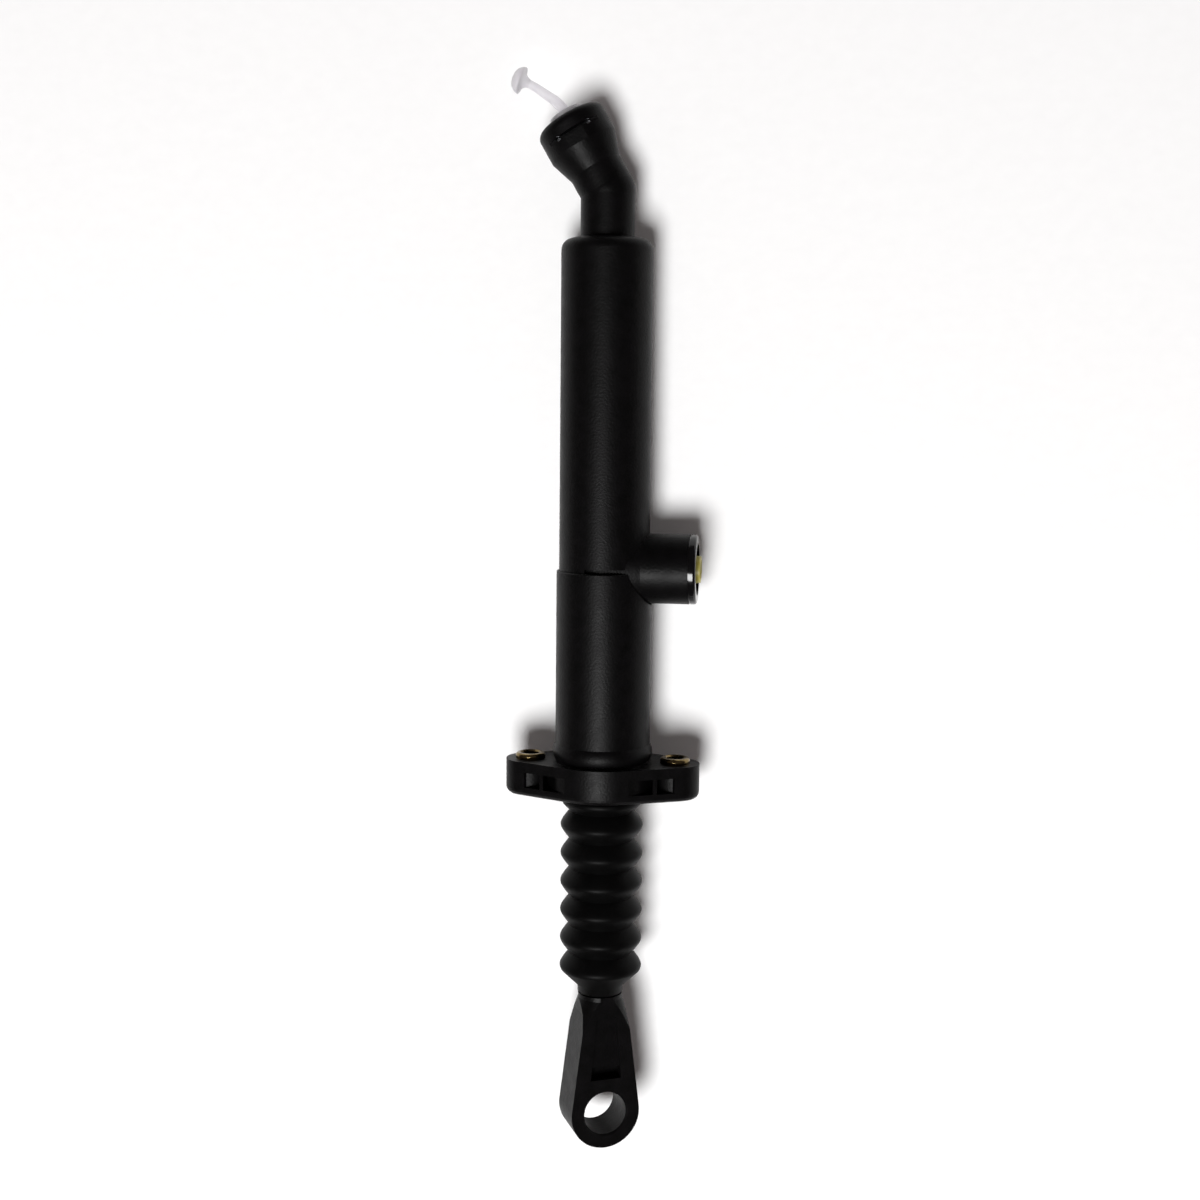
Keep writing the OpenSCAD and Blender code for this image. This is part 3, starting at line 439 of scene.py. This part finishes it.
def makeSpring():
    low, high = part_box("return_spring")
    wire = spring["wireRadius"]
    coilRadius = high.x - wire
    rings = []
    for i in range(spring["turns"] * spring["stepsPerTurn"] + 1):
        turn = i / spring["stepsPerTurn"]
        angle = 2 * math.pi * turn
        outward = Vector((math.cos(angle), math.sin(angle), 0))
        centre = outward * coilRadius
        centre.z = springHeight(turn, low.z + wire, high.z - wire)
        rings.append(ringAcross(centre, outward, Vector((0, 0, 1)), wire, spring["corners"]))
    piece = skinRings("returnSpring", rings, False, spring["creaseAngle"])
    finishPiece(piece, "spring_steel", "housing_body", "return_spring")
    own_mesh(piece)


makeSpring()
print("return spring made")


# outlet plug: a nose in the seal bore, a collar that stands a little out of the mouth,
# and a bent stem with a domed end; distances run along the plug from the outlet's mouth
plug = {
    "noseRadius": 4.82 * mm, "noseBottom": -14 * mm, "noseTop": -2.6 * mm, "noseRound": 0.65 * mm,
    "collarRoot": 5.4 * mm, "collarBottom": -2.3 * mm, "collarRadius": 6.0 * mm, "collarRim": 1.7 * mm,
    "collarEdge": 0.5 * mm, "collarTop": 2.4 * mm,
    "fillet": 0.9 * mm, "stemRoot": 1.9 * mm, "stemRadius": 1.4 * mm, "stemEnd": 17.8 * mm,
    "bends": ({"start": 2.2 * mm, "length": 6.35 * mm, "turn": math.radians(26)},
              {"start": 14.8 * mm, "length": 5.0 * mm, "turn": math.radians(11)}),
    "flareRadius": 4.7 * mm, "flareLength": 6.8 * mm, "dome": 3.4 * mm, "tipRadius": 0.1 * mm,
    # painted shade on the plug: how far its colour is darkened, most on the collar in the mouth
    "collarPaintedShade": 0.48, "flarePaintedShade": 0.31, "stemPaintedShade": 0.23,
    "stemSteps": 40, "roundSteps": 10, "around": 64, "creaseAngle": 180,
}


# radius and distance along the plug, from the nose's end to the tip of the dome
def plugProfile():
    nose, stem, flare = plug["noseRadius"], plug["stemRadius"], plug["flareRadius"]
    quarter = [math.pi / 2 * i / plug["roundSteps"] for i in range(plug["roundSteps"] + 1)]
    edge, bottom = plug["noseRound"], plug["noseBottom"]
    rows = [(nose - edge * (1 - math.sin(a)), bottom + edge * (1 - math.cos(a))) for a in quarter]
    rows += [(nose, plug["noseTop"]), (plug["collarRoot"], plug["collarBottom"])]
    edge, rim, collar = plug["collarEdge"], plug["collarRim"], plug["collarRadius"]
    rows += [(collar - edge * (1 - math.cos(a)), rim + edge * math.sin(a)) for a in quarter]
    root, top, fillet = plug["stemRoot"], plug["collarTop"], plug["fillet"]
    rows += [(root + fillet * (1 - math.sin(a)), top + fillet * (1 - math.cos(a))) for a in quarter]
    start, end = top + fillet, plug["stemEnd"]
    for i in range(1, plug["stemSteps"] + 1):
        share = i / plug["stemSteps"]
        rows.append((root + (stem - root) * share, start + (end - start) * share))
    sweep = flare - stem  # the stem sweeps out and stops short of the dome's edge
    rows += [(stem + sweep * (1 - math.cos(a)), end + sweep * math.sin(a)) for a in quarter[1:-2]]
    tip = end + plug["flareLength"]
    rows += [(flare * math.cos(a), tip - plug["dome"] * (1 - math.sin(a))) for a in quarter[:-1]]
    rows.append((plug["tipRadius"], tip))
    return rows


# how far the plug has turned away from the outlet at a distance along it
def plugTurn(distance):
    shares = [(bend, (distance - bend["start"]) / bend["length"]) for bend in plug["bends"]]
    return sum(bend["turn"] * min(max(share, 0), 1) for bend, share in shares)


# painted shade at a distance along the plug: how far its base colour is darkened there, standing in for the
# black socket showing through and for shade
def plugPaintedShade(distance):
    if plug["noseTop"] < distance < plug["collarTop"]:
        return plug["collarPaintedShade"]
    onStem = plug["collarTop"] <= distance <= plug["stemEnd"]
    return plug["stemPaintedShade"] if onStem else plug["flarePaintedShade"]


def makePlug():
    along = Vector(mounts["outlet_socket"]["axis"])
    over = Vector((0, 1, 0))
    across = over.cross(along)
    rows = plugProfile()
    last = rows[0][1]
    centre = Vector(mounts["outlet_socket"]["pos_m"]) + along * last
    rings = []
    for radius, distance in rows:
        halfway = plugTurn((distance + last) / 2)
        centre = centre + (along * math.cos(halfway) - across * math.sin(halfway)) * (distance - last)
        last = distance
        turn = plugTurn(distance)
        sideways = across * math.cos(turn) + along * math.sin(turn)
        rings.append(ringAcross(centre, sideways, over, radius, plug["around"]))
    piece = skinRings("outletPlug", rings, False, plug["creaseAngle"])
    # painted shade: each ring gets the darkening for its place along the plug
    paintedShade = piece.data.attributes.new("paintedShade", "FLOAT", "POINT")
    paintedShades = [plugPaintedShade(distance) for radius, distance in rows for i in range(plug["around"])]
    paintedShade.data.foreach_set("value", paintedShades)
    piece.visible_shadow = False  # thin milky plastic lets nearly all the light through
    finishPiece(piece, "white_polythene", "outlet_plug_body", "outlet_plug")


makePlug()
print("outlet plug made")


# matt white table that the part lies on: it touches the flange and the tube, and is clear from behind
table = {
    "atFlange": 19.8 * mm, "atTubeTop": 16.2 * mm, "outletHeight": 45 * mm, "width": 3.0,
    "darkTone": "#F8F8F8", "lightTone": "#FDFDFD", "fibreSize": 2.0, "fibreDetail": 2.0, "glow": 0.03,
}


def tableMaterial():
    material = bpy.data.materials.new("mattWhiteTable")
    material.use_nodes = True
    material.node_tree.nodes.clear()
    rays = addNode(material, "ShaderNodeLightPath").outputs
    seen = addNode(material, "ShaderNodeMath", {"operation": "MAXIMUM"},
                   {0: rays["Is Camera Ray"], 1: rays["Is Glossy Ray"]})
    seen = addNode(material, "ShaderNodeMath", {"operation": "MAXIMUM"},
                   {0: seen.outputs[0], 1: rays["Is Transmission Ray"]})
    glow = addNode(material, "ShaderNodeMath", {"operation": "MULTIPLY", 1: table["glow"]},
                   {0: seen.outputs[0]})
    fibre = addNode(material, "ShaderNodeTexNoise",
                    {"Scale": 1 / (table["fibreSize"] * mm), "Detail": table["fibreDetail"]})
    tone = addNode(material, "ShaderNodeMix",
                   {"data_type": "RGBA", mixFirst: hexToLinear(table["darkTone"]),
                    mixSecond: hexToLinear(table["lightTone"])},
                   {mixFactor: fibre.outputs["Fac"]})
    matt = addNode(material, "ShaderNodeBsdfDiffuse", links={"Color": tone.outputs[mixResult]})
    light = addNode(material, "ShaderNodeEmission", links={"Strength": glow.outputs[0]})
    front = addNode(material, "ShaderNodeAddShader", links={0: matt.outputs[0], 1: light.outputs[0]})
    behind = addNode(material, "ShaderNodeNewGeometry").outputs["Backfacing"]
    clear = addNode(material, "ShaderNodeMath", {"operation": "MAXIMUM"},
                    {0: behind, 1: rays["Is Shadow Ray"]})
    nothing = addNode(material, "ShaderNodeBsdfTransparent")
    both = addNode(material, "ShaderNodeMixShader",
                   links={0: clear.outputs[0], 1: front.outputs[0], 2: nothing.outputs[0]})
    addNode(material, "ShaderNodeOutputMaterial", links={"Surface": both.outputs[0]})
    return material


def makeTable():
    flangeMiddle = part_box("flange_sleeve")[0].z / 2  # the flange's upper face is at zero
    tubeTop = mounts["outlet_socket"]["pos_m"][2] - table["outletHeight"]
    lean = (table["atTubeTop"] - table["atFlange"]) / (tubeTop - flangeMiddle)
    half = table["width"] / 2
    corners = []
    for x, z in ((-half, -half), (half, -half), (half, half), (-half, half)):
        corners.append((x, table["atFlange"] + lean * (z - flangeMiddle), z))
    mesh = bpy.data.meshes.new("table")
    mesh.from_pydata(corners, [], [(0, 1, 2, 3)])
    mesh.materials.append(tableMaterial())
    piece = bpy.data.objects.new("table", mesh)
    bpy.context.scene.collection.objects.link(piece)


makeTable()


# a round soft lamp in front, low and a little to the left, and a wide faint one behind for the back views
lamps = {
    "key": {"towards": (-0.074, -0.937, -0.342), "distance": 2.4, "size": 1.0, "power": 63.0},
    "rear": {"towards": (-0.35, 0.93, 0.05), "distance": 1.4, "size": 1.2, "power": 8.0},
}


def makeLamp(name, lamp):
    data = bpy.data.lights.new(name, "AREA")
    data.shape = "DISK"
    data.size = lamp["size"]
    data.energy = lamp["power"]
    towards = Vector(lamp["towards"]).normalized()
    piece = bpy.data.objects.new(name, data)
    piece.location = towards * lamp["distance"]
    piece.rotation_mode = "QUATERNION"
    piece.rotation_quaternion = towards.to_track_quat("Z", "Y")
    bpy.context.scene.collection.objects.link(piece)


for lampName, lamp in lamps.items():
    makeLamp(lampName, lamp)


# white behind the part for the camera and for reflections, dim room light elsewhere
room = {
    "dim": 0.10, "dimTone": "#FFEFEC", "full": 1.0, "fullTone": "#FFFFFF",
    "fadeFrom": -0.1, "fadeTo": 0.4,
}


def makeWorld():
    world = bpy.data.worlds.new("room")
    bpy.context.scene.world = world
    world.use_nodes = True
    world.node_tree.nodes.clear()
    rays = addNode(world, "ShaderNodeLightPath").outputs
    direction = addNode(world, "ShaderNodeTexCoord").outputs["Generated"]
    parts = addNode(world, "ShaderNodeSeparateXYZ", links={0: direction})
    behind = addNode(world, "ShaderNodeMapRange",
                     {"From Min": room["fadeFrom"], "From Max": room["fadeTo"]},
                     {"Value": parts.outputs["Y"]})
    mirrored = addNode(world, "ShaderNodeMath", {"operation": "MAXIMUM"},
                       {0: rays["Is Glossy Ray"], 1: rays["Is Transmission Ray"]})
    mirrored = addNode(world, "ShaderNodeMath", {"operation": "MULTIPLY"},
                       {0: mirrored.outputs[0], 1: behind.outputs["Result"]})
    seen = addNode(world, "ShaderNodeMath", {"operation": "MAXIMUM"},
                   {0: mirrored.outputs[0], 1: rays["Is Camera Ray"]})
    level = addNode(world, "ShaderNodeMapRange", {"To Min": room["dim"], "To Max": room["full"]},
                    {"Value": seen.outputs[0]})
    tone = addNode(world, "ShaderNodeMix",
                   {"data_type": "RGBA", mixFirst: hexToLinear(room["dimTone"]),
                    mixSecond: hexToLinear(room["fullTone"])},
                   {mixFactor: seen.outputs[0]})
    sky = addNode(world, "ShaderNodeBackground",
                  links={"Color": tone.outputs[mixResult], "Strength": level.outputs["Result"]})
    addNode(world, "ShaderNodeOutputWorld", links={"Surface": sky.outputs[0]})


makeWorld()
bpy.context.scene.view_settings.view_transform = "Standard"
print("stage and light set")


# the camera stands a little above the middle of the part and to its right
camera = {
    "azimuth": math.radians(7.39), "elevation": math.radians(6.85), "roll": math.radians(0.572),
    "distance": 570.5 * mm, "aim": (-1.45 * mm, 0, 58.06 * mm),
    "focalPixels": 1600, "framePixels": 1200, "sensor": 36, "nearest": 10 * mm,
}


def makeCamera():
    azimuth, elevation, roll = camera["azimuth"], camera["elevation"], camera["roll"]
    back = Vector((math.sin(azimuth) * math.cos(elevation), -math.cos(azimuth) * math.cos(elevation),
                   math.sin(elevation)))
    right = Vector((math.cos(azimuth), math.sin(azimuth), 0))
    up = back.cross(right)
    rolledRight = right * math.cos(roll) + up * math.sin(roll)
    rolledUp = up * math.cos(roll) - right * math.sin(roll)
    data = bpy.data.cameras.new("camera")
    data.sensor_width = camera["sensor"]
    data.lens = camera["focalPixels"] * camera["sensor"] / camera["framePixels"]
    data.clip_start = camera["nearest"]
    piece = bpy.data.objects.new("camera", data)
    turn = Matrix((rolledRight, rolledUp, back)).transposed().to_4x4()
    piece.matrix_world = Matrix.Translation(Vector(camera["aim"]) + back * camera["distance"]) @ turn
    bpy.context.scene.collection.objects.link(piece)
    bpy.context.scene.camera = piece


makeCamera()
